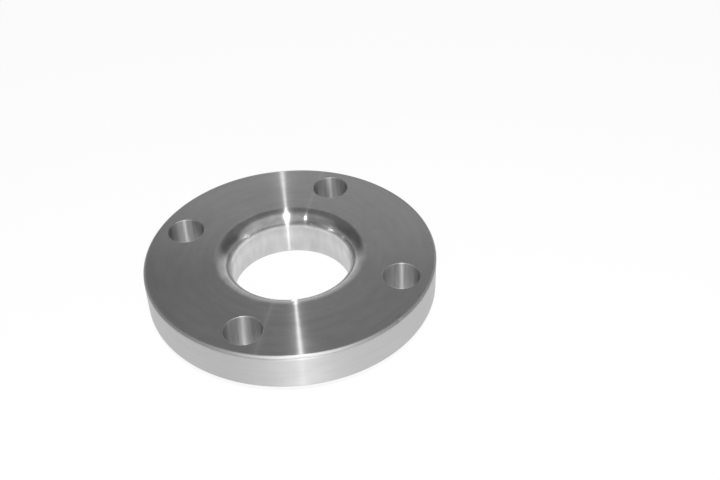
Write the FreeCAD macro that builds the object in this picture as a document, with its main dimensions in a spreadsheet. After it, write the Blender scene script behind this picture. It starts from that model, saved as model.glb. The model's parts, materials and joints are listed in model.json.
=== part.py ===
"""Lap joint flange: the loose backing flange of a lap joint, turned and drilled from one forging.

The flange slides over a pipe end whose lap is turned outwards, and clamps that lap through a ring of bolts.
It is one solid: a thick bolting plate with a short hub on its back, a plain bore, and a large round corner
where the bore meets the face, which makes room for the bend of the pipe's lap.

Frame: millimetres, +Z along the bore towards the lap face, origin at the centre of the hub's end face.
The flange stands on that end face with its lap face up.
"""

import FreeCAD, Part

import math
import os
import re
from types import SimpleNamespace

import Sketcher

# Driving sizes: alias, value in millimetres (degrees for angles, a plain number for the count), what it is.
SIZES = (
    ("plate_thickness", 20.3, "bolting plate, lap face to back face"),
    ("bore_diameter", 62.5, "plain bore that the pipe end passes through"),
    ("lap_corner_radius", 8.0, "round corner between bore and lap face"),
    ("hub_height", 4.7, "hub, back face to its own end face"),
    ("hub_diameter", 78.0, "hub where it meets the back face"),
    ("hub_draft", 5.0, "slope of the hub's side, narrower towards its end, degrees"),
    ("hub_root_radius", 3.0, "round corner between hub and back face"),
    ("hub_end_chamfer", 1.0, "outer edge of the hub's end face"),
    ("bore_end_chamfer", 0.8, "edge of the bore at the hub's end face"),
    ("rim_chamfer", 1.2, "both outer edges of the bolting plate"),
    ("bolt_circle_diameter", 120.65, "circle through the bolt holes' centres"),
    ("bolt_hole_diameter", 19.05, "bolt hole"),
    ("rim_land", 6.0, "metal left between a bolt hole and the plate's outside, which sets its diameter"),
    ("bolt_hole_count", 4, "bolt holes, evenly spaced"),
    ("first_hole_angle", 45.0, "first bolt hole from +X, so that the holes straddle both axes, degrees"),
    ("hole_edge_chamfer", 0.5, "both edges of every bolt hole"),
)

SHEET = "sizes"
NODE = "lap_joint_flange"
ALIAS = re.compile(r"\b(" + "|".join(alias for alias, value, meaning in SIZES) + r")\b")
FULL_TURN = 360.0
EDGE_TOLERANCE = 1e-4
ORIGIN_POINT = (-1, 1)  # a sketch's own origin, as constraints name it
HORIZONTAL_AXIS = -1
RIM_RADIUS = "bolt_circle_diameter / 2 + bolt_hole_diameter / 2 + rim_land"
LINE_START, LINE_END, CIRCLE_CENTRE = 1, 2, 3


def add_sheet(doc):
    """The spreadsheet that holds every driving size, one aliased cell per size."""
    sheet = doc.addObject("Spreadsheet::Sheet", SHEET)
    for row, (alias, value, meaning) in enumerate(SIZES, start=1):
        sheet.set(f"A{row}", alias)
        sheet.set(f"B{row}", str(value))
        sheet.set(f"C{row}", meaning)
        sheet.setAlias(f"B{row}", alias)
    doc.recompute()
    return sheet


def from_sheet(expression):
    """An expression in which each size's alias refers to its cell of the sheet."""
    return ALIAS.sub(rf"<<{SHEET}>>.\1", expression)


def section_sizes(doc):
    """Radii and heights of the section's sharp corners, worked out from the sheet."""
    size = doc.getObject(SHEET)
    hub = size.hub_diameter / 2
    return SimpleNamespace(
        bore=size.bore_diameter / 2,
        rim=size.bolt_circle_diameter / 2 + size.bolt_hole_diameter / 2 + size.rim_land,
        hub_root=hub,
        hub_end=hub - size.hub_height * math.tan(math.radians(size.hub_draft)),
        back=size.hub_height,
        face=size.hub_height + size.plate_thickness,
    )


def origin_feature(body, role):
    """The body's own origin plane or axis of that role."""
    return next(f for f in body.Origin.OriginFeatures if f.Role == role)


def add_sketch(body, name, plane):
    """An empty sketch on one of the body's origin planes."""
    sketch = body.newObject("Sketcher::SketchObject", name)
    sketch.AttachmentSupport = [(origin_feature(body, plane), "")]
    sketch.MapMode = "FlatFace"
    return sketch


def dimension(sketch, name, kind, elements, value, expression):
    """A named dimensional constraint, drawn at its present value, that follows the sheet."""
    index = sketch.addConstraint(Sketcher.Constraint(kind, *elements, value))
    sketch.renameConstraint(index, name)
    sketch.setExpression(f"Constraints.{name}", from_sheet(expression))


def circular_edges(shape, radius, heights):
    """Names of the full circular edges of that radius that lie at one of those heights."""
    names = []
    for number, edge in enumerate(shape.Edges, start=1):
        if not isinstance(edge.Curve, Part.Circle) or not edge.isClosed():
            continue
        right_radius = abs(edge.Curve.Radius - radius) < EDGE_TOLERANCE
        if right_radius and any(abs(edge.Curve.Center.z - z) < EDGE_TOLERANCE for z in heights):
            names.append(f"Edge{number}")
    if not names:
        raise RuntimeError(f"no circular edge of radius {radius} at heights {heights}")
    return names


def fillet_edges(body, name, alias, edges):
    """A fillet of those edges of the body's present shape, with its radius from the sheet."""
    add_dressing(body, "PartDesign::Fillet", name, edges, "Radius", alias)


def chamfer_edges(body, name, alias, edges):
    """An equal chamfer of those edges of the body's present shape, with its size from the sheet."""
    add_dressing(body, "PartDesign::Chamfer", name, edges, "Size", alias)


def add_dressing(body, kind, name, edges, size_property, alias):
    """A feature of that kind on the body's present shape, which becomes the body's tip."""
    base = body.Tip
    feature = body.newObject(kind, name)
    feature.Base = (base, edges)
    feature.setExpression(size_property, from_sheet(alias))
    body.Tip = feature
    body.Document.recompute()


def draw_section(body):
    """Half of the flange's section with sharp corners: plate, hub with its draft, and bore."""
    sketch = add_sketch(body, "flange_section", "XZ_Plane")
    at = section_sizes(body.Document)
    corners = [
        (at.bore, 0),
        (at.hub_end, 0),
        (at.hub_root, at.back),
        (at.rim, at.back),
        (at.rim, at.face),
        (at.bore, at.face),
    ]
    points = [FreeCAD.Vector(radius, height, 0) for radius, height in corners]
    for start, end in zip(points, points[1:] + points[:1]):
        sketch.addGeometry(Part.LineSegment(start, end), False)
    end_line, hub_line, back_line, rim_line, face_line, bore_line = range(len(points))
    for line in range(len(points)):
        following = (line + 1) % len(points)
        sketch.addConstraint(Sketcher.Constraint("Coincident", line, LINE_END, following, LINE_START))
    for line in (end_line, back_line, face_line):
        sketch.addConstraint(Sketcher.Constraint("Horizontal", line))
    for line in (rim_line, bore_line):
        sketch.addConstraint(Sketcher.Constraint("Vertical", line))
    sketch.addConstraint(Sketcher.Constraint("PointOnObject", end_line, LINE_START, HORIZONTAL_AXIS))

    bore_foot = (*ORIGIN_POINT, end_line, LINE_START)
    hub_root = (*ORIGIN_POINT, hub_line, LINE_END)
    rim_foot = (*ORIGIN_POINT, rim_line, LINE_START)
    rim_side = (rim_line, LINE_START, rim_line, LINE_END)
    hub_side = (hub_line, LINE_START, hub_line, LINE_END)
    slope = "hub_height * tan(hub_draft * 1 deg)"
    dimension(sketch, "bore_radius", "DistanceX", bore_foot, at.bore, "bore_diameter / 2")
    dimension(sketch, "hub_radius", "DistanceX", hub_root, at.hub_root, "hub_diameter / 2")
    dimension(sketch, "hub_stand", "DistanceY", hub_root, at.back, "hub_height")
    dimension(sketch, "hub_slope", "DistanceX", hub_side, at.hub_root - at.hub_end, slope)
    dimension(sketch, "rim_radius", "DistanceX", rim_foot, at.rim, RIM_RADIUS)
    dimension(sketch, "thickness", "DistanceY", rim_side, at.face - at.back, "plate_thickness")
    return sketch


def turn_blank(body):
    """The turned blank: the section revolved once round the bore's axis."""
    section = draw_section(body)
    blank = body.newObject("PartDesign::Revolution", "turned_blank")
    blank.Profile = section
    blank.ReferenceAxis = (section, ["V_Axis"])
    blank.Angle = FULL_TURN
    body.Tip = blank
    body.Document.recompute()


def turn_corners(body):
    """The lathe's corners: lap corner, hub root, and the chamfers on rim, hub and bore."""
    at = section_sizes(body.Document)
    fillet_edges(body, "lap_corner", "lap_corner_radius", circular_edges(body.Shape, at.bore, [at.face]))
    fillet_edges(body, "hub_root", "hub_root_radius", circular_edges(body.Shape, at.hub_root, [at.back]))
    chamfer_edges(body, "rim_edges", "rim_chamfer", circular_edges(body.Shape, at.rim, [at.face, at.back]))
    chamfer_edges(body, "hub_edge", "hub_end_chamfer", circular_edges(body.Shape, at.hub_end, [0]))
    chamfer_edges(body, "bore_edge", "bore_end_chamfer", circular_edges(body.Shape, at.bore, [0]))


def draw_bolt_hole(body):
    """One bolt hole's circle on the lap face, at the end of a construction line from the bore's axis."""
    sketch = add_sketch(body, "bolt_hole_circle", "XY_Plane")
    sketch.setExpression("AttachmentOffset.Base.z", from_sheet("hub_height + plate_thickness"))
    size = body.Document.getObject(SHEET)
    reach = size.bolt_circle_diameter / 2
    angle = math.radians(size.first_hole_angle)
    centre = FreeCAD.Vector(reach * math.cos(angle), reach * math.sin(angle), 0)
    spoke = sketch.addGeometry(Part.LineSegment(FreeCAD.Vector(0, 0, 0), centre), True)
    circle = Part.Circle(centre, FreeCAD.Vector(0, 0, 1), size.bolt_hole_diameter / 2)
    hole = sketch.addGeometry(circle, False)
    sketch.addConstraint(Sketcher.Constraint("Coincident", spoke, LINE_START, *ORIGIN_POINT))
    sketch.addConstraint(Sketcher.Constraint("Coincident", hole, CIRCLE_CENTRE, spoke, LINE_END))
    dimension(sketch, "reach", "Distance", (spoke,), reach, "bolt_circle_diameter / 2")
    dimension(sketch, "turn", "Angle", (spoke,), angle, "first_hole_angle * 1 deg")
    dimension(sketch, "hole_size", "Diameter", (hole,), size.bolt_hole_diameter, "bolt_hole_diameter")
    return sketch


def drill_bolt_holes(body):
    """The drilled holes: one through hole, repeated round the bore's axis, then chamfered on both faces."""
    circle = draw_bolt_hole(body)
    body.Document.recompute()
    hole = body.newObject("PartDesign::Hole", "bolt_hole")
    hole.Profile = circle
    body.Document.recompute()
    hole.Threaded = False
    hole.DepthType = "ThroughAll"
    hole.setExpression("Diameter", from_sheet("bolt_hole_diameter"))
    body.Document.recompute()

    ring = body.newObject("PartDesign::PolarPattern", "bolt_hole_ring")
    ring.Originals = [hole]
    ring.Axis = (origin_feature(body, "Z_Axis"), [""])
    ring.Angle = FULL_TURN
    ring.setExpression("Occurrences", from_sheet("bolt_hole_count"))
    body.Tip = ring
    body.Document.recompute()

    at = section_sizes(body.Document)
    hole_radius = body.Document.getObject(SHEET).bolt_hole_diameter / 2
    edges = circular_edges(body.Shape, hole_radius, [at.face, at.back])
    chamfer_edges(body, "hole_edges", "hole_edge_chamfer", edges)


def check_drilling(doc, undrilled, drilled):
    """Stops the build unless drilling took away at least the metal of every hole through the plate."""
    size = doc.getObject(SHEET)
    hole = math.pi * (size.bolt_hole_diameter / 2) ** 2 * size.plate_thickness
    expected = undrilled - size.bolt_hole_count * hole
    if drilled > expected:
        raise RuntimeError(f"the holes left {drilled:.1f} mm3 where at most {expected:.1f} mm3 should remain")


def check_document(doc, body):
    """Stops the build if any object has failed, or the finished shape isn't one valid solid."""
    for thing in doc.Objects:
        if "Invalid" in thing.State or "Error" in thing.State:
            raise RuntimeError(f"{thing.Name} failed: {thing.State}")
    shape = body.Shape
    if shape.isNull() or not shape.isValid() or len(shape.Solids) != 1:
        raise RuntimeError(f"{body.Label} isn't one valid solid")


def build_flange(doc):
    """The whole flange as one body: turned, its corners broken, then drilled."""
    body = doc.addObject("PartDesign::Body", NODE)
    body.Label = NODE
    turn_blank(body)
    turn_corners(body)
    undrilled = body.Shape.Volume
    drill_bolt_holes(body)
    check_drilling(doc, undrilled, body.Shape.Volume)
    return body


def main():
    """Builds the document, checks it and writes the part's one solid."""
    doc = FreeCAD.newDocument("lap_joint_flange")
    add_sheet(doc)
    body = build_flange(doc)
    doc.recompute()
    check_document(doc, body)
    os.makedirs("parts", exist_ok=True)
    body.Shape.exportStep(f"parts/{body.Label}.step")
    box = body.Shape.BoundBox
    overall = f"{box.XLength:.2f} x {box.YLength:.2f} x {box.ZLength:.2f} mm"
    print(f"{body.Label}: {overall}, {body.Shape.Volume:.0f} mm3")


main()
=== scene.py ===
"""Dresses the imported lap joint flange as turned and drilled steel, on a pale studio floor.

The flange is one closed surface. Its section is walked round the bore's axis, each of its two flat faces is
four sectors that leave room for a bolt hole, and each hole's wall is a short section walked round the hole's
axis. Every surface carries the way in which the tool passed over it, and the steel's gloss follows that.
All sizes are in metres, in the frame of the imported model: +Z along the bore, origin on the hub's end face.
"""

import json
import math

import bpy
import numpy as np
from bpy.props import FloatProperty, FloatVectorProperty, IntProperty, PointerProperty
from mathutils import Matrix, Vector


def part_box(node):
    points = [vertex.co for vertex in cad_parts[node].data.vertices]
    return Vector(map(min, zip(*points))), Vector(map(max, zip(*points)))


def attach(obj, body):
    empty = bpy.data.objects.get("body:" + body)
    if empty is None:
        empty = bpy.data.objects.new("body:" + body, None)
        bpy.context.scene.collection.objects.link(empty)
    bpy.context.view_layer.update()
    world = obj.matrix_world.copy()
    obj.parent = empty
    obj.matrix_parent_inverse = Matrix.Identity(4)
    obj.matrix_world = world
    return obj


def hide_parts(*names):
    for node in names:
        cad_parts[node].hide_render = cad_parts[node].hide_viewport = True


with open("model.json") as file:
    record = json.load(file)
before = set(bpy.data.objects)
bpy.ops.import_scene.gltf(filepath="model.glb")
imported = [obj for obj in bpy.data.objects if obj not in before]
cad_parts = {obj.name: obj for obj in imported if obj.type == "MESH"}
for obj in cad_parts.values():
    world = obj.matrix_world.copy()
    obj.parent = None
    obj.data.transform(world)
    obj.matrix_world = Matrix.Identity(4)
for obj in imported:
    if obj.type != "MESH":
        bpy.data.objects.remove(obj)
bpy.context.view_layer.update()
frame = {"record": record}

bl_info = {
    "name": "Lap joint flange",
    "version": (1, 0, 0),
    "blender": (4, 5, 0),
    "location": "View3D > Sidebar > Flange",
    "description": "Builds a turned and drilled lap joint flange and its studio",
    "category": "Object",
}

NODE = "lap_joint_flange"
BODY = "root"
MM = 0.001
FULL_TURN = 2 * math.pi
UP = Vector((0, 0, 1))

MOUNTS = {mount["name"]: mount for mount in frame["record"]["mounts"]}
HOLES = MOUNTS["bolt_holes"]["dims"]
NODE_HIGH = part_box(NODE)[1]

# Places of the finishes in the flange's list of materials.
FACE, CORNER, BORE, RIM, HOLE, BACK, EDGE = range(7)

# Small knocks on the lap face's outer edge: place round the rim in degrees, and half length and depth in
# millimetres.
KNOCKS = ((-69.3, 1.4, 0.25), (-54.8, 1.1, 0.22))

# Steps round the arcs of the sections: worn edges, the rim's round, the lap corner and the hub's root.
EDGE_STEPS = 3
RIM_ROUND_STEPS = 8
LAP_CORNER_STEPS = 28
HUB_ROOT_STEPS = 10

# Steps along a side of a flat sector, and from its bolt hole to its outline.
SIDE_STEPS = 12
BLEND_STEPS = 8

# Angles laid over each knock, and steps round the floor.
KNOCK_STEPS = 24
FLOOR_STEPS = 96

# Width of the camera's sensor, in millimetres.
SENSOR_WIDTH = 36.0

# Greys of the room against the sine of the height above the horizon.
ROOM_LIGHT = ((0.0, 0.68), (0.30, 0.145), (0.60, 0.09), (0.85, 0.18), (1.0, 0.17))

# Wide pale areas of the room: azimuth and elevation of the middle, the angles from it up to which the area is
# even and at which it ends, in degrees, and the grey that it adds.
PALE_AREAS = (
    (-79.0, 17.0, 57.5, 66.0, 0.21),
    (63.0, 0.5, 29.0, 47.0, 0.42),
    (-113.5, 0.0, 80.0, 99.0, 0.19),
)

# A darker area low in the room: the same angles, and the share of the light that it keeps.
DARK_AREA = (-143.0, -14.0, 31.0, 40.0, 0.3)

# Radius in metres of the circle on which the smears' noise is read. A small one makes them long.
SMEAR_CIRCLE = 0.02

# Scales of the noises in the steel, per metre: the tool's marks, then the bands, smears and clouds of the
# tone. Fine clouds that are drawn out are the upright streaks of a drilled wall.
MARK_SCALE = 2600.0
BAND_SCALE = 420.0
SMEAR_SCALE = 300.0
CLOUD_SCALE = 26.0
STREAK_SCALE = 600.0

# Shares of the bands, clouds and smears in the tone, and the lowest and highest tone that count.
BAND_SHARE = 0.3
CLOUD_SHARE = 0.3
SMEAR_SHARE = 0.4
TONE_LOW = 0.35
TONE_HIGH = 0.65

# Share by which the roughness rises and falls with the tone.
GLOSS_CHANGE = 0.06

# The Principled shader's width along the marks, as a share of that across, is 1 - 0.9 * anisotropy. Its
# rotation is in turns.
RATIO_RANGE = 0.9
QUARTER_TURN = 0.25

# Depth in metres of the finest tool marks.
MARK_DEPTH = 3e-6

# Points closer than this, in metres, are made one.
MERGE_STEP = 1e-7

# Decimals of the angles round the flange, in radians, and the slack with which a sector's own are picked.
ANGLE_DECIMALS = 9
ANGLE_SLACK = 1e-6


class FlangeSizes(bpy.types.PropertyGroup):
    """Sizes of the flange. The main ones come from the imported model."""

    outside_radius: FloatProperty(
        name="Outside radius",
        description="Outside of the bolting plate",
        default=NODE_HIGH[0],
        unit="LENGTH",
    )
    length: FloatProperty(
        name="Length",
        description="Hub end face to lap face",
        default=NODE_HIGH[2],
        unit="LENGTH",
    )
    back_height: FloatProperty(
        name="Back face height",
        description="Hub end face to the plate's back face",
        default=MOUNTS["bolting_face"]["pos_m"][2],
        unit="LENGTH",
    )
    bore_radius: FloatProperty(
        name="Bore radius",
        description="Plain bore through the flange",
        default=MOUNTS["pipe_bore"]["dims"]["r_mm"] * MM,
        unit="LENGTH",
    )
    corner_radius: FloatProperty(
        name="Lap corner radius",
        description="Round corner between the bore and the lap face",
        default=0.008,
        unit="LENGTH",
    )
    hub_radius: FloatProperty(
        name="Hub radius",
        description="Hub where it meets the back face",
        default=0.039,
        unit="LENGTH",
    )
    hub_draft: FloatProperty(
        name="Hub draft",
        description="Slope of the hub's side",
        default=math.radians(5),
        subtype="ANGLE",
    )
    hub_root_radius: FloatProperty(
        name="Hub root radius",
        description="Round corner between the hub and the back face",
        default=0.003,
        unit="LENGTH",
    )
    hub_chamfer: FloatProperty(
        name="Hub chamfer",
        description="Outer edge of the hub's end face",
        default=0.001,
        unit="LENGTH",
    )
    bore_chamfer: FloatProperty(
        name="Bore chamfer",
        description="Edge of the bore at the hub's end face",
        default=0.0008,
        unit="LENGTH",
    )
    rim_chamfer: FloatProperty(
        name="Rim chamfer",
        description="Both outer edges of the bolting plate",
        default=0.0012,
        unit="LENGTH",
    )
    bolt_circle_radius: FloatProperty(
        name="Bolt circle radius",
        description="Circle through the bolt holes' centres",
        default=HOLES["pcd_mm"] * MM / 2,
        unit="LENGTH",
    )
    hole_radius: FloatProperty(
        name="Bolt hole radius",
        description="Wall of a bolt hole",
        default=HOLES["hole_r_mm"] * MM,
        unit="LENGTH",
    )
    hole_chamfer: FloatProperty(
        name="Bolt hole chamfer",
        description="Both edges of every bolt hole",
        default=0.00015,
        unit="LENGTH",
    )
    hole_count: IntProperty(
        name="Bolt holes",
        description="Bolt holes, evenly spaced, with the first midway between +X and +Y",
        default=HOLES["count"],
        min=2,
    )
    edge_round: FloatProperty(
        name="Edge round",
        description="Radius that wear has left on the edges of the chamfers",
        default=0.0001,
        unit="LENGTH",
    )
    rim_round: FloatProperty(
        name="Rim round",
        description="Radius between the lap side's chamfer and the plate's outside",
        default=0.0016,
        unit="LENGTH",
    )
    support: FloatProperty(
        name="Support width",
        description="Flat strip beside every round edge, which keeps the shading of the flats even",
        default=0.0003,
        unit="LENGTH",
    )
    turn_steps: IntProperty(
        name="Steps round the flange",
        description="Even steps round the bore's axis, a multiple of the number of holes",
        default=480,
        min=48,
    )


class FlangeFinish(bpy.types.PropertyGroup):
    """Colour and gloss of the steel."""

    steel: FloatVectorProperty(
        name="Steel",
        description="Colour of the turned steel",
        default=(0.615, 0.615, 0.615),
        size=3,
        min=0,
        max=1,
        subtype="COLOR",
    )
    rim: FloatVectorProperty(
        name="Rim and bore",
        description="Colour of the plate's outside and the bore",
        default=(0.59, 0.59, 0.59),
        size=3,
        min=0,
        max=1,
        subtype="COLOR",
    )
    # Painted shade: the bolt holes' walls get a darker colour than the steel, which stands in for the shade
    # of the floor under the plate that they mirror.
    drilled: FloatVectorProperty(
        name="Shaded hole wall",
        description="Colour of the bolt holes' walls",
        default=(0.37, 0.37, 0.37),
        size=3,
        min=0,
        max=1,
        subtype="COLOR",
    )
    # Painted shade: the chamfers get a darker colour than the steel, which stands in for the shade and dark
    # reflections on them.
    worn: FloatVectorProperty(
        name="Chamfer shade",
        description="Colour of the chamfers",
        default=(0.40, 0.40, 0.40),
        size=3,
        min=0,
        max=1,
        subtype="COLOR",
    )


class StudioSettings(bpy.types.PropertyGroup):
    """Floor, lamps and camera."""

    floor_colour: FloatVectorProperty(
        name="Floor",
        description="Colour of the plain floor",
        default=(0.95, 0.95, 0.95),
        size=3,
        min=0,
        max=1,
        subtype="COLOR",
    )
    floor_radius: FloatProperty(
        name="Floor radius",
        description="Radius of the round floor",
        default=12.0,
        unit="LENGTH",
    )
    floor_glow: FloatProperty(
        name="Floor glow",
        description="Share of plain white in the floor as the camera and mirrors see it",
        default=0.90,
        min=0,
        max=1,
        subtype="FACTOR",
    )
    key_strength: FloatProperty(
        name="Main lamp",
        description="Light of the small lamp above the camera on the flange, in watts per square metre",
        default=2.7,
        min=0,
    )
    lamp_azimuth: FloatProperty(
        name="Main lamp azimuth",
        description="Where the main lamp stands round the flange, from +X",
        default=math.radians(-108.27),
        subtype="ANGLE",
    )
    lamp_elevation: FloatProperty(
        name="Main lamp elevation",
        description="Height of the main lamp above the horizon, as an angle",
        default=math.radians(56.1),
        subtype="ANGLE",
    )
    lamp_distance: FloatProperty(
        name="Main lamp distance",
        description="Main lamp to the middle of the lap face",
        default=0.68,
        unit="LENGTH",
    )
    lamp_radius: FloatProperty(
        name="Main lamp radius",
        description="Radius of the main lamp's bulb",
        default=0.012,
        unit="LENGTH",
    )
    side_strength: FloatProperty(
        name="Side lamp",
        description="Strength of the small lamp to the camera's left",
        default=0.15,
        min=0,
    )
    side_azimuth: FloatProperty(
        name="Side lamp azimuth",
        description="Where the side lamp stands round the flange, from +X",
        default=math.radians(-144.97),
        subtype="ANGLE",
    )
    side_elevation: FloatProperty(
        name="Side lamp elevation",
        description="Height of the side lamp above the horizon, as an angle",
        default=math.radians(45.0),
        subtype="ANGLE",
    )
    side_width: FloatProperty(
        name="Side lamp width",
        description="Width of the side lamp in the sky, as an angle",
        default=math.radians(1.5),
        subtype="ANGLE",
    )
    lens: FloatProperty(
        name="Lens",
        description="Focal length on a sensor 36 mm wide",
        default=47.859,
        unit="CAMERA",
    )
    camera_azimuth: FloatProperty(
        name="Camera azimuth",
        description="Where the camera stands round the flange, from +X",
        default=math.radians(-109.975),
        subtype="ANGLE",
    )
    camera_elevation: FloatProperty(
        name="Camera elevation",
        description="Height of the camera above the lap face, as an angle",
        default=math.radians(39.627),
        subtype="ANGLE",
    )
    camera_distance: FloatProperty(
        name="Camera distance",
        description="Camera to the middle of the lap face",
        default=0.49952,
        unit="LENGTH",
    )
    camera_pan: FloatProperty(
        name="Camera pan",
        description="Turn of the camera to the right of the flange's middle",
        default=math.radians(-4.206),
        subtype="ANGLE",
    )
    camera_tilt: FloatProperty(
        name="Camera tilt",
        description="Turn of the camera above the flange's middle",
        default=math.radians(0.4006),
        subtype="ANGLE",
    )
    camera_roll: FloatProperty(
        name="Camera roll",
        description="Turn of the camera about its own line of sight",
        default=math.radians(4.8262),
        subtype="ANGLE",
    )


def unit(vectors):
    """Each vector divided by its own length."""
    return vectors / np.linalg.norm(vectors, axis=-1, keepdims=True)


def section_run(corners, rounds, steps, support):
    """A line through corners (radius, height), with every inner corner turned into an arc.

    An arc touches both sides at its radius times the tangent of half the turn, measured from the corner. Its
    points are the arc's start turned about its centre by equal parts of the turn. A corner of radius 0 stays
    a point. Each straight stretch longer than three supports gets one more point a support from each end.
    """
    corners = np.asarray(corners, float)
    along = unit(np.diff(corners, axis=0))
    pieces = [corners[:1]]
    for place, (radius, count) in enumerate(zip(rounds, steps), start=1):
        before, after = along[place - 1], along[place]
        turn = math.atan2(before[0] * after[1] - before[1] * after[0], float(before @ after))
        start = corners[place] - before * radius * math.tan(abs(turn) / 2)
        centre = start + np.array([-before[1], before[0]]) * math.copysign(radius, turn)
        angle = np.linspace(0, turn, count + 1 if radius else 1)[:, None]
        arm = start - centre
        across = np.array([-arm[1], arm[0]])
        pieces.append(centre + np.cos(angle) * arm + np.sin(angle) * across)
    pieces.append(corners[-1:])

    run = [pieces[0]]
    for previous, following in zip(pieces, pieces[1:]):
        gap = following[0] - previous[-1]
        length = np.linalg.norm(gap)
        if length > 3 * support:
            inset = gap * support / length
            run.append(np.array([previous[-1] + inset, following[0] - inset]))
        run.append(following if length > MERGE_STEP else following[1:])
    return np.concatenate(run)


def grid_faces(rows, columns):
    """Quads between neighbouring rows and columns of a grid of points, numbered row by row. The last row
    meets the first."""
    row = np.arange(rows)[:, None]
    column = np.arange(columns - 1)
    here = row * columns + column
    beside = (row + 1) % rows * columns + column
    return np.stack([here, beside, beside + 1, here + 1], axis=-1).reshape(-1, 4)


def turned_patch(run, angles, axis, finish, slanted=None, tool_axis=None):
    """A section walked round a vertical axis: x and y are the axis plus the radius times cosine and sine of
    the angle, and z is the section's height. Stretches of the section that lean by roughly half a right angle
    take the slanted finish, if one is given. The tool turned about the same axis, unless it has its own."""
    radius, height = run.T
    x = axis[0] + radius * np.cos(angles)[:, None]
    y = axis[1] + radius * np.sin(angles)[:, None]
    points = np.stack([x, y, np.broadcast_to(height, x.shape)], axis=-1)
    faces = grid_faces(len(angles), len(run))
    reach = np.abs(np.diff(run, axis=0))
    leaning = reach.min(axis=1) > reach.max(axis=1) / 2
    finishes = np.where(leaning, finish if slanted is None else slanted, finish)
    return points.reshape(-1, 3), faces, tool_axis or axis, np.tile(finishes, len(angles))


def sector_outline(angles, inner, outer, middle):
    """Round one sector of a flat face, as radius and angle from the sector's middle line: along the outer
    arc, in along one side, back along the inner arc and out along the other side. The third array is the
    direction in which each of these points lies from the hole's centre, on the sector rolled out flat."""
    side = np.linspace(outer, inner, SIDE_STEPS + 1)[1:-1]
    low, high = angles[0], angles[-1]
    radius = np.concatenate([np.full(len(angles), outer), side, np.full(len(angles), inner), side[::-1]])
    angle = np.concatenate([angles, np.full(len(side), high), angles[::-1], np.full(len(side), low)])
    return radius, angle, np.arctan2(angle * middle, radius - middle)


def drilled_sector(outline, hole, hole_radius, middle_angle, height, finish, up):
    """A flat sector round a hole: in rolled-out coordinates (radius, angle), every point is a straight blend
    between the hole's edge and the sector's outline. A sector that faces up is walked inwards."""
    radius, angle, direction = outline
    edge_x = hole + hole_radius * np.cos(direction)
    edge_y = hole_radius * np.sin(direction)
    blend = np.linspace(1, 0, BLEND_STEPS + 1) if up else np.linspace(0, 1, BLEND_STEPS + 1)
    r = np.hypot(edge_x, edge_y)[:, None] * (1 - blend) + radius[:, None] * blend
    a = np.arctan2(edge_y, edge_x)[:, None] * (1 - blend) + angle[:, None] * blend + middle_angle
    points = np.stack([r * np.cos(a), r * np.sin(a), np.full(r.shape, height)], axis=-1)
    faces = grid_faces(len(radius), BLEND_STEPS + 1)
    return points.reshape(-1, 3), faces, (0.0, 0.0), np.full(len(faces), finish)


def knock_in(points, knocks, radius, height):
    """Small dents in the outer edge: near each knock, points move in and down by its depth times a bell curve
    of their distance from it."""
    for degrees, half_length, depth in knocks:
        angle = math.radians(degrees)
        outward = np.array([math.cos(angle), math.sin(angle), 0.0])
        centre = outward * radius + np.array([0, 0, height])
        distance = np.linalg.norm(points - centre, axis=-1) / (half_length * MM)
        push = np.exp(-(distance**2))[:, None] * depth * MM
        points = points - push * unit(outward + np.array([0, 0, 1.0]))
    return points


def closed_mesh(name, patches, reshape):
    """One mesh from patches of (points, quads, tool axis, finish of each quad), with shared points made one
    and then moved by reshape.

    The corner attribute "lay" holds the way the tool passed: the vertical crossed with the arm from its axis.
    That changes evenly over a flat quad, so it is exact everywhere between the points."""
    points, quads, axes, finishes = zip(*patches)
    firsts = np.cumsum([0] + [len(own) for own in points])
    arms = np.concatenate([own - (*axis, 0) for own, axis in zip(points, axes)])
    points = np.concatenate(points)
    quads = np.concatenate([own + first for own, first in zip(quads, firsts)])
    finish = np.concatenate(finishes)
    lay = np.stack([-arms[:, 1], arms[:, 0], np.zeros(len(arms))], axis=-1)[quads].reshape(-1, 3)

    keys = np.round(points / MERGE_STEP).astype(np.int64)
    place, shared = np.unique(keys, axis=0, return_index=True, return_inverse=True)[1:]
    corners = shared.reshape(-1)[quads]
    edges = np.sort(np.stack([corners, np.roll(corners, -1, axis=1)], axis=-1).reshape(-1, 2), axis=1)
    uses = np.unique(edges, axis=0, return_counts=True)[1]
    if (uses != 2).any():
        raise RuntimeError(f"{name} isn't closed: {(uses != 2).sum()} edges don't have two faces")

    mesh = bpy.data.meshes.new(name)
    mesh.from_pydata(reshape(points[place]), [], corners)
    mesh.polygons.foreach_set("material_index", finish.astype(np.int32))
    mesh.polygons.foreach_set("use_smooth", np.ones(len(corners), bool))
    mesh.attributes.new("lay", "FLOAT_VECTOR", "CORNER").data.foreach_set("vector", lay.ravel())
    mesh.validate()
    mesh.update()
    return mesh


def rim_corners(size):
    """Section of the plate's outside, from the back face up to the lap face: a straight side with a chamfer
    at each end. Two plain points near the lap side's chamfer keep the shading of the straight part even."""
    rim, chamfer, face = size.outside_radius, size.rim_chamfer, size.length
    land = rim - chamfer - 2 * size.support
    return [
        (land, size.back_height),
        (rim - chamfer, size.back_height),
        (rim, size.back_height + chamfer),
        (rim, face - 3 * chamfer),
        (rim, face - 2 * chamfer),
        (rim, face - chamfer),
        (rim - chamfer, face),
        (land, face),
    ]


def hub_corners(size):
    """Section of the hub, from the middle of its end face out to the back face. Its end is narrower than its
    root by the draft's tangent times the height. The root's arc reaches out over the back face by its radius
    times the tangent of half its turn."""
    slope = math.tan(size.hub_draft)
    foot = size.hub_radius - size.back_height * slope
    rise = size.hub_chamfer * math.cos(size.hub_draft)
    reach = size.hub_root_radius * math.tan((math.pi / 2 - size.hub_draft) / 2)
    return [
        ((size.bore_radius + foot) / 2, 0),
        (foot - size.hub_chamfer, 0),
        (foot + rise * slope, rise),
        (size.hub_radius, size.back_height),
        (size.hub_radius + reach + 2 * size.support, size.back_height),
    ]


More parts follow.
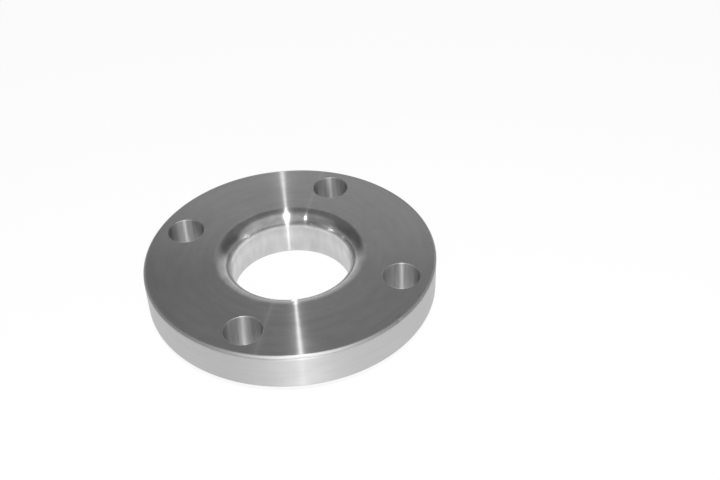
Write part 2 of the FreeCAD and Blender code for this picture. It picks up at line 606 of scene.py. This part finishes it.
def lap_land(size):
    """Radius at which the lap corner's section ends and the flat lap face starts."""
    return size.bore_radius + size.corner_radius + 2 * size.support


def steps_round(size, knocks):
    """Angles round the flange: even steps, with finer ones where the edge has a knock."""
    angles = [np.arange(size.turn_steps) * FULL_TURN / size.turn_steps]
    for degrees, half_length, _ in knocks:
        reach = 2 * half_length * MM / size.outside_radius
        fine = np.linspace(-reach, reach, KNOCK_STEPS) + math.radians(degrees)
        angles.append(fine % FULL_TURN)
    return np.unique(np.round(np.concatenate(angles), ANGLE_DECIMALS))


def turned_surfaces(size, around, rim, hub):
    """The surfaces turned about the bore's axis: the outside, the lap corner, the bore and the hub."""
    centre = (0.0, 0.0)
    face, support, fine = size.length, size.support, size.edge_round
    bore, corner, chamfer = size.bore_radius, size.corner_radius, size.bore_chamfer
    rim_run = section_run(
        rim,
        (fine, fine, 0, 0, size.rim_round, fine),
        (EDGE_STEPS,) * 4 + (RIM_ROUND_STEPS, EDGE_STEPS),
        support,
    )
    corner_run = section_run(
        [(lap_land(size), face), (bore, face), (bore, face - corner)],
        (corner,),
        (LAP_CORNER_STEPS,),
        support,
    )
    bore_run = section_run(
        [(bore, face - corner), (bore, chamfer), (bore + chamfer, 0), hub[0]],
        (fine, fine),
        (EDGE_STEPS,) * 2,
        support,
    )
    hub_run = section_run(
        hub,
        (fine, fine, size.hub_root_radius),
        (EDGE_STEPS, EDGE_STEPS, HUB_ROOT_STEPS),
        support,
    )
    return [
        turned_patch(rim_run, around, centre, RIM, EDGE),
        turned_patch(corner_run, around, centre, CORNER),
        turned_patch(bore_run, around, centre, BORE, EDGE),
        turned_patch(hub_run, around, centre, BACK),
    ]


def drilled_surfaces(size, around, rim, hub):
    """For each bolt hole, its sector of both flat faces, its wall, and the strips between them. A sector
    reaches halfway to the next hole on each side."""
    centre = (0.0, 0.0)
    face, back, support, fine = size.length, size.back_height, size.support, size.edge_round
    hole, circle, edge = size.hole_radius, size.bolt_circle_radius, size.hole_chamfer
    strip = hole + edge + support
    land = hole + edge + 2 * support
    hole_run = section_run(
        [
            (strip, face),
            (hole + edge, face),
            (hole, face - edge),
            (hole, back + edge),
            (hole + edge, back),
            (strip, back),
        ],
        (fine,) * 4,
        (EDGE_STEPS,) * 4,
        support,
    )
    lap_strip = np.array([(land, face), (strip, face)])
    back_strip = np.array([(strip, back), (land, back)])
    share = FULL_TURN / size.hole_count
    patches = []
    for number in range(size.hole_count):
        middle = (number + 0.5) * share
        after_start = around > number * share - ANGLE_SLACK
        before_end = around < (number + 1) * share + ANGLE_SLACK
        own = around[after_start & before_end] - middle
        # The angles stop short of a full turn, so the last sector is given its end.
        if number == size.hole_count - 1:
            own = np.append(own, share / 2)
        lap_outline = sector_outline(own, lap_land(size), rim[-1][0], circle)
        turn = lap_outline[2]
        # The back takes the lap face's directions, so that both meet the hole's wall at the same angles.
        back_outline = (*sector_outline(own, hub[-1][0], rim[0][0], circle)[:2], turn)
        axis = (circle * math.cos(middle), circle * math.sin(middle))
        patches += [
            drilled_sector(lap_outline, circle, land, middle, face, FACE, True),
            drilled_sector(back_outline, circle, land, middle, back, BACK, False),
            turned_patch(lap_strip, turn + middle, axis, FACE, tool_axis=centre),
            turned_patch(hole_run, turn + middle, axis, HOLE, EDGE),
            turned_patch(back_strip, turn + middle, axis, BACK, tool_axis=centre),
        ]
    return patches


def flange_patches(size):
    """Every surface of the flange, each as (points, quads, tool axis, finish)."""
    shared = (size, steps_round(size, KNOCKS), rim_corners(size), hub_corners(size))
    return turned_surfaces(*shared) + drilled_surfaces(*shared)


class Nodes:
    """Short ways to add and join the nodes of one material or world."""

    def __init__(self, owner):
        owner.use_nodes = True
        self.tree = owner.node_tree
        self.tree.nodes.clear()

    def add(self, kind, inputs=None, **settings):
        """A new node, with its settings and its inputs: an input is a value, or a socket to join to it."""
        node = self.tree.nodes.new(kind)
        for name, value in settings.items():
            setattr(node, name, value)
        for name, value in (inputs or {}).items():
            socket = node.inputs[name]
            if isinstance(value, bpy.types.NodeSocket):
                self.tree.links.new(value, socket)
            else:
                socket.default_value = value
        return node

    def math(self, operation, first, second=0.0):
        """Result of a Math node."""
        return self.add("ShaderNodeMath", {0: first, 1: second}, operation=operation).outputs[0]

    def join(self, *values):
        """A vector of two or three values."""
        return self.add("ShaderNodeCombineXYZ", dict(enumerate(values))).outputs[0]

    def noise(self, place, scale, detail, fourth=0.0):
        """Value of a noise with its own scale, which can run in a fourth direction too."""
        inputs = {"Vector": place, "Scale": scale, "Detail": detail, "W": fourth}
        return self.add("ShaderNodeTexNoise", inputs, noise_dimensions="4D").outputs[0]

    def spread(self, value, low, high):
        """A value that follows the tone evenly from low to high."""
        limits = {"From Min": TONE_LOW, "From Max": TONE_HIGH, "To Min": low, "To Max": high}
        return self.add("ShaderNodeMapRange", {"Value": value, **limits}).outputs[0]


def steel_tone(nodes, axes, radius, drawn, cloud_scale):
    """Uneven tone of the steel, as one value: bands in (radius, height), smears that are long along the
    tool's way, and clouds. Heights are divided by how far the tone is drawn out, which makes it upright."""
    rise = nodes.math("DIVIDE", axes[2], drawn)
    ways = [nodes.math("MULTIPLY", nodes.math("DIVIDE", axis, radius), SMEAR_CIRCLE) for axis in axes[:2]]
    bands = nodes.noise(nodes.join(radius, rise), BAND_SCALE, detail=1.0)
    smears = nodes.noise(nodes.join(*ways, rise), SMEAR_SCALE, detail=1.0, fourth=radius)
    clouds = nodes.noise(nodes.join(axes[0], axes[1], rise), cloud_scale, detail=2.0)
    bands = nodes.math("MULTIPLY", bands, BAND_SHARE)
    clouds = nodes.math("MULTIPLY", clouds, CLOUD_SHARE)
    smears = nodes.math("MULTIPLY", smears, SMEAR_SHARE)
    return nodes.math("ADD", nodes.math("ADD", bands, clouds), smears)


def turned_steel(
    name,
    colour,
    first,
    second,
    second_share,
    mottle,
    dull=0.0,
    marks_depth=MARK_DEPTH,
    drawn=1.0,
    cloud_scale=CLOUD_SCALE,
):
    """Steel with tool marks. Its gloss is narrow along the marks and wide across them.

    Two lobes share the light, each with a width along and across the marks (GGX alphas). A lobe's roughness
    is the fourth root of their product. Its anisotropy is 1 less their ratio, over the shader's range, in the
    first lobe, which is at most ten times as wide across as along. In the second, which has no such limit, it
    is 1 less the ratio's square root. Dull steel scatters that share of the light. The marks are noise in
    (radius, height), so they run round. The mottle is the share by which the colour rises and falls with the
    tone."""
    material = bpy.data.materials.new(name)
    nodes = Nodes(material)
    place = nodes.add("ShaderNodeTexCoord").outputs["Object"]
    axes = nodes.add("ShaderNodeSeparateXYZ", {0: place}).outputs
    squares = [nodes.math("MULTIPLY", axis, axis) for axis in axes[:2]]
    radius = nodes.math("SQRT", nodes.math("ADD", *squares))
    mixed = steel_tone(nodes, axes, radius, drawn, cloud_scale)
    shade = nodes.spread(mixed, 1 - mottle, 1 + mottle)
    tone = nodes.add("ShaderNodeVectorMath", {0: colour, "Scale": shade}, operation="SCALE").outputs[0]
    marks = nodes.noise(nodes.join(radius, axes[2]), MARK_SCALE, detail=2.0)
    bump = nodes.add("ShaderNodeBump", {"Strength": 1.0, "Distance": marks_depth, "Height": marks}).outputs[0]
    lay = nodes.add("ShaderNodeAttribute", attribute_name="lay").outputs["Vector"]
    along, across = first
    roughness = (along * across) ** 0.25
    principled = nodes.add(
        "ShaderNodeBsdfPrincipled",
        {
            "Base Color": tone,
            "Metallic": 1 - dull,
            "Roughness": nodes.spread(mixed, roughness * (1 - GLOSS_CHANGE), roughness * (1 + GLOSS_CHANGE)),
            "Anisotropic": (1 - along / across) / RATIO_RANGE,
            "Anisotropic Rotation": QUARTER_TURN,
            "Tangent": lay,
            "Normal": bump,
        },
    ).outputs[0]
    along, across = second
    anisotropic = nodes.add(
        "ShaderNodeBsdfAnisotropic",
        {
            "Color": tone,
            "Roughness": (along * across) ** 0.25,
            "Anisotropy": 1 - math.sqrt(along / across),
            "Tangent": lay,
            "Normal": bump,
        },
    ).outputs[0]
    surface = nodes.add("ShaderNodeMixShader", {0: second_share, 1: principled, 2: anisotropic}).outputs[0]
    nodes.add("ShaderNodeOutputMaterial", {"Surface": surface})
    return material


def flange_finishes(finish):
    """The seven finishes of the flange, each under its place in the list of materials."""
    colours = (finish.steel, finish.rim, finish.drilled, finish.worn)
    steel, rim, drilled, worn = (tuple(colour) for colour in colours)
    return {
        FACE: turned_steel(
            "turned_face", steel, first=(0.007, 0.13), second=(0.012, 0.8), second_share=0.052, mottle=0.055
        ),
        CORNER: turned_steel(
            "turned_corner", steel, first=(0.006, 0.11), second=(0.009, 0.4), second_share=0.16, mottle=0.20
        ),
        BORE: turned_steel(
            "turned_bore",
            rim,
            first=(0.009, 0.13),
            second=(0.010, 0.5),
            second_share=0.10,
            mottle=0.15,
            drawn=4.0,
        ),
        RIM: turned_steel(
            "turned_rim",
            rim,
            first=(0.08, 0.37),
            second=(0.015, 0.7),
            second_share=0.018,
            mottle=0.05,
            marks_depth=MARK_DEPTH / 4,
        ),
        # Painted shade: the darker colour of the holes' walls stands in for the shaded floor under the plate
        # that they mirror.
        HOLE: turned_steel(
            "drilled_wall",
            drilled,
            first=(0.045, 0.6),
            second=(0.25, 0.8),
            second_share=0.50,
            mottle=0.38,
            dull=0.50,
            drawn=12.0,
            cloud_scale=STREAK_SCALE,
        ),
        BACK: turned_steel(
            "turned_back", steel, first=(0.02, 0.2), second=(0.05, 0.5), second_share=0.2, mottle=0.08
        ),
        # Painted shade: the chamfers' darker colour stands in for the shade and dark reflections on them.
        EDGE: turned_steel(
            "worn_edge", worn, first=(0.3, 0.35), second=(0.3, 0.6), second_share=0.1, mottle=0.1
        ),
    }


def floor_material(colour, glow):
    """Plain pale floor. The camera, mirrors and glass see it partly as plain white, which thins shadows."""
    material = bpy.data.materials.new("pale_floor")
    nodes = Nodes(material)
    path = nodes.add("ShaderNodeLightPath").outputs
    mirrored = nodes.math("MAXIMUM", path["Is Glossy Ray"], path["Is Transmission Ray"])
    seen = nodes.math("MAXIMUM", path["Is Camera Ray"], mirrored)
    paper = nodes.add("ShaderNodeBsdfDiffuse", {"Color": (*colour, 1)}).outputs[0]
    white = nodes.add("ShaderNodeEmission", {"Color": (1, 1, 1, 1), "Strength": 1.0}).outputs[0]
    share = nodes.math("MULTIPLY", seen, glow)
    surface = nodes.add("ShaderNodeMixShader", {0: share, 1: paper, 2: white}).outputs[0]
    nodes.add("ShaderNodeOutputMaterial", {"Surface": surface})
    return material


def round_floor(studio):
    """A flat floor with one round face, whose outline is the floor's radius times cosine and sine."""
    angles = np.arange(FLOOR_STEPS) * FULL_TURN / FLOOR_STEPS
    outline = np.stack([np.cos(angles), np.sin(angles), np.zeros(FLOOR_STEPS)], axis=-1)
    mesh = bpy.data.meshes.new("floor")
    mesh.from_pydata(outline * studio.floor_radius, [], [range(FLOOR_STEPS)])
    mesh.materials.append(floor_material(tuple(studio.floor_colour), studio.floor_glow))
    floor = bpy.data.objects.new("floor", mesh)
    bpy.context.collection.objects.link(floor)


def grey(level):
    """A neutral colour with alpha."""
    return (level, level, level, 1.0)


def set_ramp(ramp, stops):
    """Puts stops (position, grey) on a colour ramp in place of its own."""
    while len(ramp.elements) > 1:
        ramp.elements.remove(ramp.elements[-1])
    ramp.elements[0].position = stops[0][0]
    ramp.elements[0].color = grey(stops[0][1])
    for position, level in stops[1:]:
        ramp.elements.new(position).color = grey(level)


def direction_from(azimuth, elevation):
    """The unit vector towards a place in the sky: the azimuth's cosine and sine, each times the elevation's
    cosine, and the elevation's sine."""
    flat = math.cos(elevation)
    return Vector((flat * math.cos(azimuth), flat * math.sin(azimuth), math.sin(elevation)))


def sky_area(nodes, direction, place, outside, inside):
    """A value that changes from outside to inside over the soft border of a round area of the sky. It follows
    the dot product of the direction and the area's middle, which is the cosine of the angle between them."""
    azimuth, elevation, full, none = (math.radians(angle) for angle in place)
    middle = direction_from(azimuth, elevation)
    nearness = nodes.add("ShaderNodeVectorMath", {0: direction, 1: middle}, operation="DOT_PRODUCT")
    return nodes.add(
        "ShaderNodeMapRange",
        {
            "Value": nearness.outputs["Value"],
            "From Min": math.cos(none),
            "From Max": math.cos(full),
            "To Min": outside,
            "To Max": inside,
        },
        interpolation_type="SMOOTHSTEP",
    ).outputs[0]


def studio_world(scene):
    """Soft room light: a grey that changes with height, a few wide pale areas and a darker one, each with a
    soft border."""
    world = bpy.data.worlds.new("studio")
    scene.world = world
    nodes = Nodes(world)
    direction = nodes.add("ShaderNodeTexCoord").outputs["Generated"]
    height = nodes.add("ShaderNodeSeparateXYZ", {0: direction}).outputs[2]
    ramp = nodes.add("ShaderNodeValToRGB", {0: height})
    set_ramp(ramp.color_ramp, ROOM_LIGHT)
    light = ramp.outputs[0]
    for *place, level in PALE_AREAS:
        light = nodes.math("ADD", light, sky_area(nodes, direction, place, 0.0, level))
    *place, kept = DARK_AREA
    light = nodes.math("MULTIPLY", light, sky_area(nodes, direction, place, 1.0, kept))
    surface = nodes.add("ShaderNodeBackground", {"Color": grey(1.0), "Strength": light}).outputs[0]
    nodes.add("ShaderNodeOutputWorld", {"Surface": surface})


def near_lamp(name, place, away, strength, radius):
    """A round lamp at a place. Its power is the light wanted on a surface that faces it, times the area of a
    sphere whose radius is their distance."""
    light = bpy.data.lights.new(name, "POINT")
    light.energy = strength * 4 * math.pi * away**2
    light.shadow_soft_size = radius
    lamp = bpy.data.objects.new(name, light)
    lamp.location = place
    bpy.context.collection.objects.link(lamp)


def distant_lamp(name, toward, strength, width):
    """A lamp far away, in that direction of the sky, as wide as that angle."""
    light = bpy.data.lights.new(name, "SUN")
    light.energy = strength
    light.angle = width
    lamp = bpy.data.objects.new(name, light)
    lamp.rotation_euler = toward.to_track_quat("Z", "Y").to_euler()
    lamp.location = toward
    bpy.context.collection.objects.link(lamp)


def place_camera(scene, studio, target):
    """The photograph's camera: it looks at the middle of the lap face, then is panned, tilted and rolled."""
    data = bpy.data.cameras.new("camera")
    data.sensor_width = SENSOR_WIDTH
    data.sensor_fit = "HORIZONTAL"
    data.lens = studio.lens
    camera = bpy.data.objects.new("camera", data)
    away = direction_from(studio.camera_azimuth, studio.camera_elevation)
    forward = -away
    right = forward.cross(UP).normalized()
    above = right.cross(forward)
    pan = Matrix.Rotation(studio.camera_pan, 3, above)
    forward, right = pan @ forward, pan @ right
    tilt = Matrix.Rotation(studio.camera_tilt, 3, right)
    forward, above = tilt @ forward, tilt @ above
    roll = Matrix.Rotation(studio.camera_roll, 3, forward)
    right, above = roll @ right, roll @ above
    turn = Matrix((right, above, -forward)).transposed().to_4x4()
    camera.matrix_world = Matrix.Translation(target + away * studio.camera_distance) @ turn
    bpy.context.collection.objects.link(camera)
    scene.camera = camera


class FLANGE_OT_ring(bpy.types.Operator):
    """Build the turned and drilled flange in place of the plain solid"""

    bl_idname = "flange.ring"
    bl_label = "Flange"

    def execute(self, context):
        size, finish = context.scene.flange_sizes, context.scene.flange_finish

        def knocked(points):
            """The points with the knocks, which lie in the middle of the lap side's chamfer."""
            edge = size.rim_chamfer / 2
            return knock_in(points, KNOCKS, size.outside_radius - edge, size.length - edge)

        mesh = closed_mesh("turned_flange", flange_patches(size), knocked)
        looks = flange_finishes(finish)
        for place in sorted(looks):
            mesh.materials.append(looks[place])
        ring = bpy.data.objects.new("turned_flange", mesh)
        context.collection.objects.link(ring)
        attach(ring, BODY)
        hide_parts(NODE)
        return {"FINISHED"}


class FLANGE_OT_studio(bpy.types.Operator):
    """Build the pale floor, the room light, the lamps and the camera"""

    bl_idname = "flange.studio"
    bl_label = "Studio"

    def execute(self, context):
        scene = context.scene
        size, studio = scene.flange_sizes, scene.flange_studio
        round_floor(studio)
        studio_world(scene)
        middle = Vector((0, 0, size.length))
        away = studio.lamp_distance
        place = middle + direction_from(studio.lamp_azimuth, studio.lamp_elevation) * away
        near_lamp("main_lamp", place, away, studio.key_strength, studio.lamp_radius)
        side = direction_from(studio.side_azimuth, studio.side_elevation)
        distant_lamp("side_lamp", side, studio.side_strength, studio.side_width)
        place_camera(scene, studio, middle)
        scene.view_settings.view_transform = "Standard"
        return {"FINISHED"}


class FLANGE_PT_panel(bpy.types.Panel):
    """Lists the steps and their settings"""

    bl_idname = "FLANGE_PT_panel"
    bl_label = "Lap joint flange"
    bl_space_type = "VIEW_3D"
    bl_region_type = "UI"
    bl_category = "Flange"

    def draw(self, context):
        for owner, operator in (
            (context.scene.flange_sizes, FLANGE_OT_ring),
            (context.scene.flange_finish, None),
            (context.scene.flange_studio, FLANGE_OT_studio),
        ):
            box = self.layout.box()
            for name in owner.bl_rna.properties.keys():
                if name not in ("rna_type", "name"):
                    box.prop(owner, name)
            if operator:
                box.operator(operator.bl_idname)


CLASSES = (FlangeSizes, FlangeFinish, StudioSettings, FLANGE_OT_ring, FLANGE_OT_studio, FLANGE_PT_panel)
SETTINGS = {"flange_sizes": FlangeSizes, "flange_finish": FlangeFinish, "flange_studio": StudioSettings}


def register():
    """Makes the classes and the settings known to Blender."""
    for each in CLASSES:
        bpy.utils.register_class(each)
    for name, group in SETTINGS.items():
        setattr(bpy.types.Scene, name, PointerProperty(type=group))


def unregister():
    """Takes the settings and the classes away again."""
    for name in SETTINGS:
        delattr(bpy.types.Scene, name)
    for each in reversed(CLASSES):
        bpy.utils.unregister_class(each)


def main():
    """Builds the flange and the studio."""
    register()
    bpy.ops.flange.ring()
    bpy.ops.flange.studio()


if __name__ == "__main__":
    main()
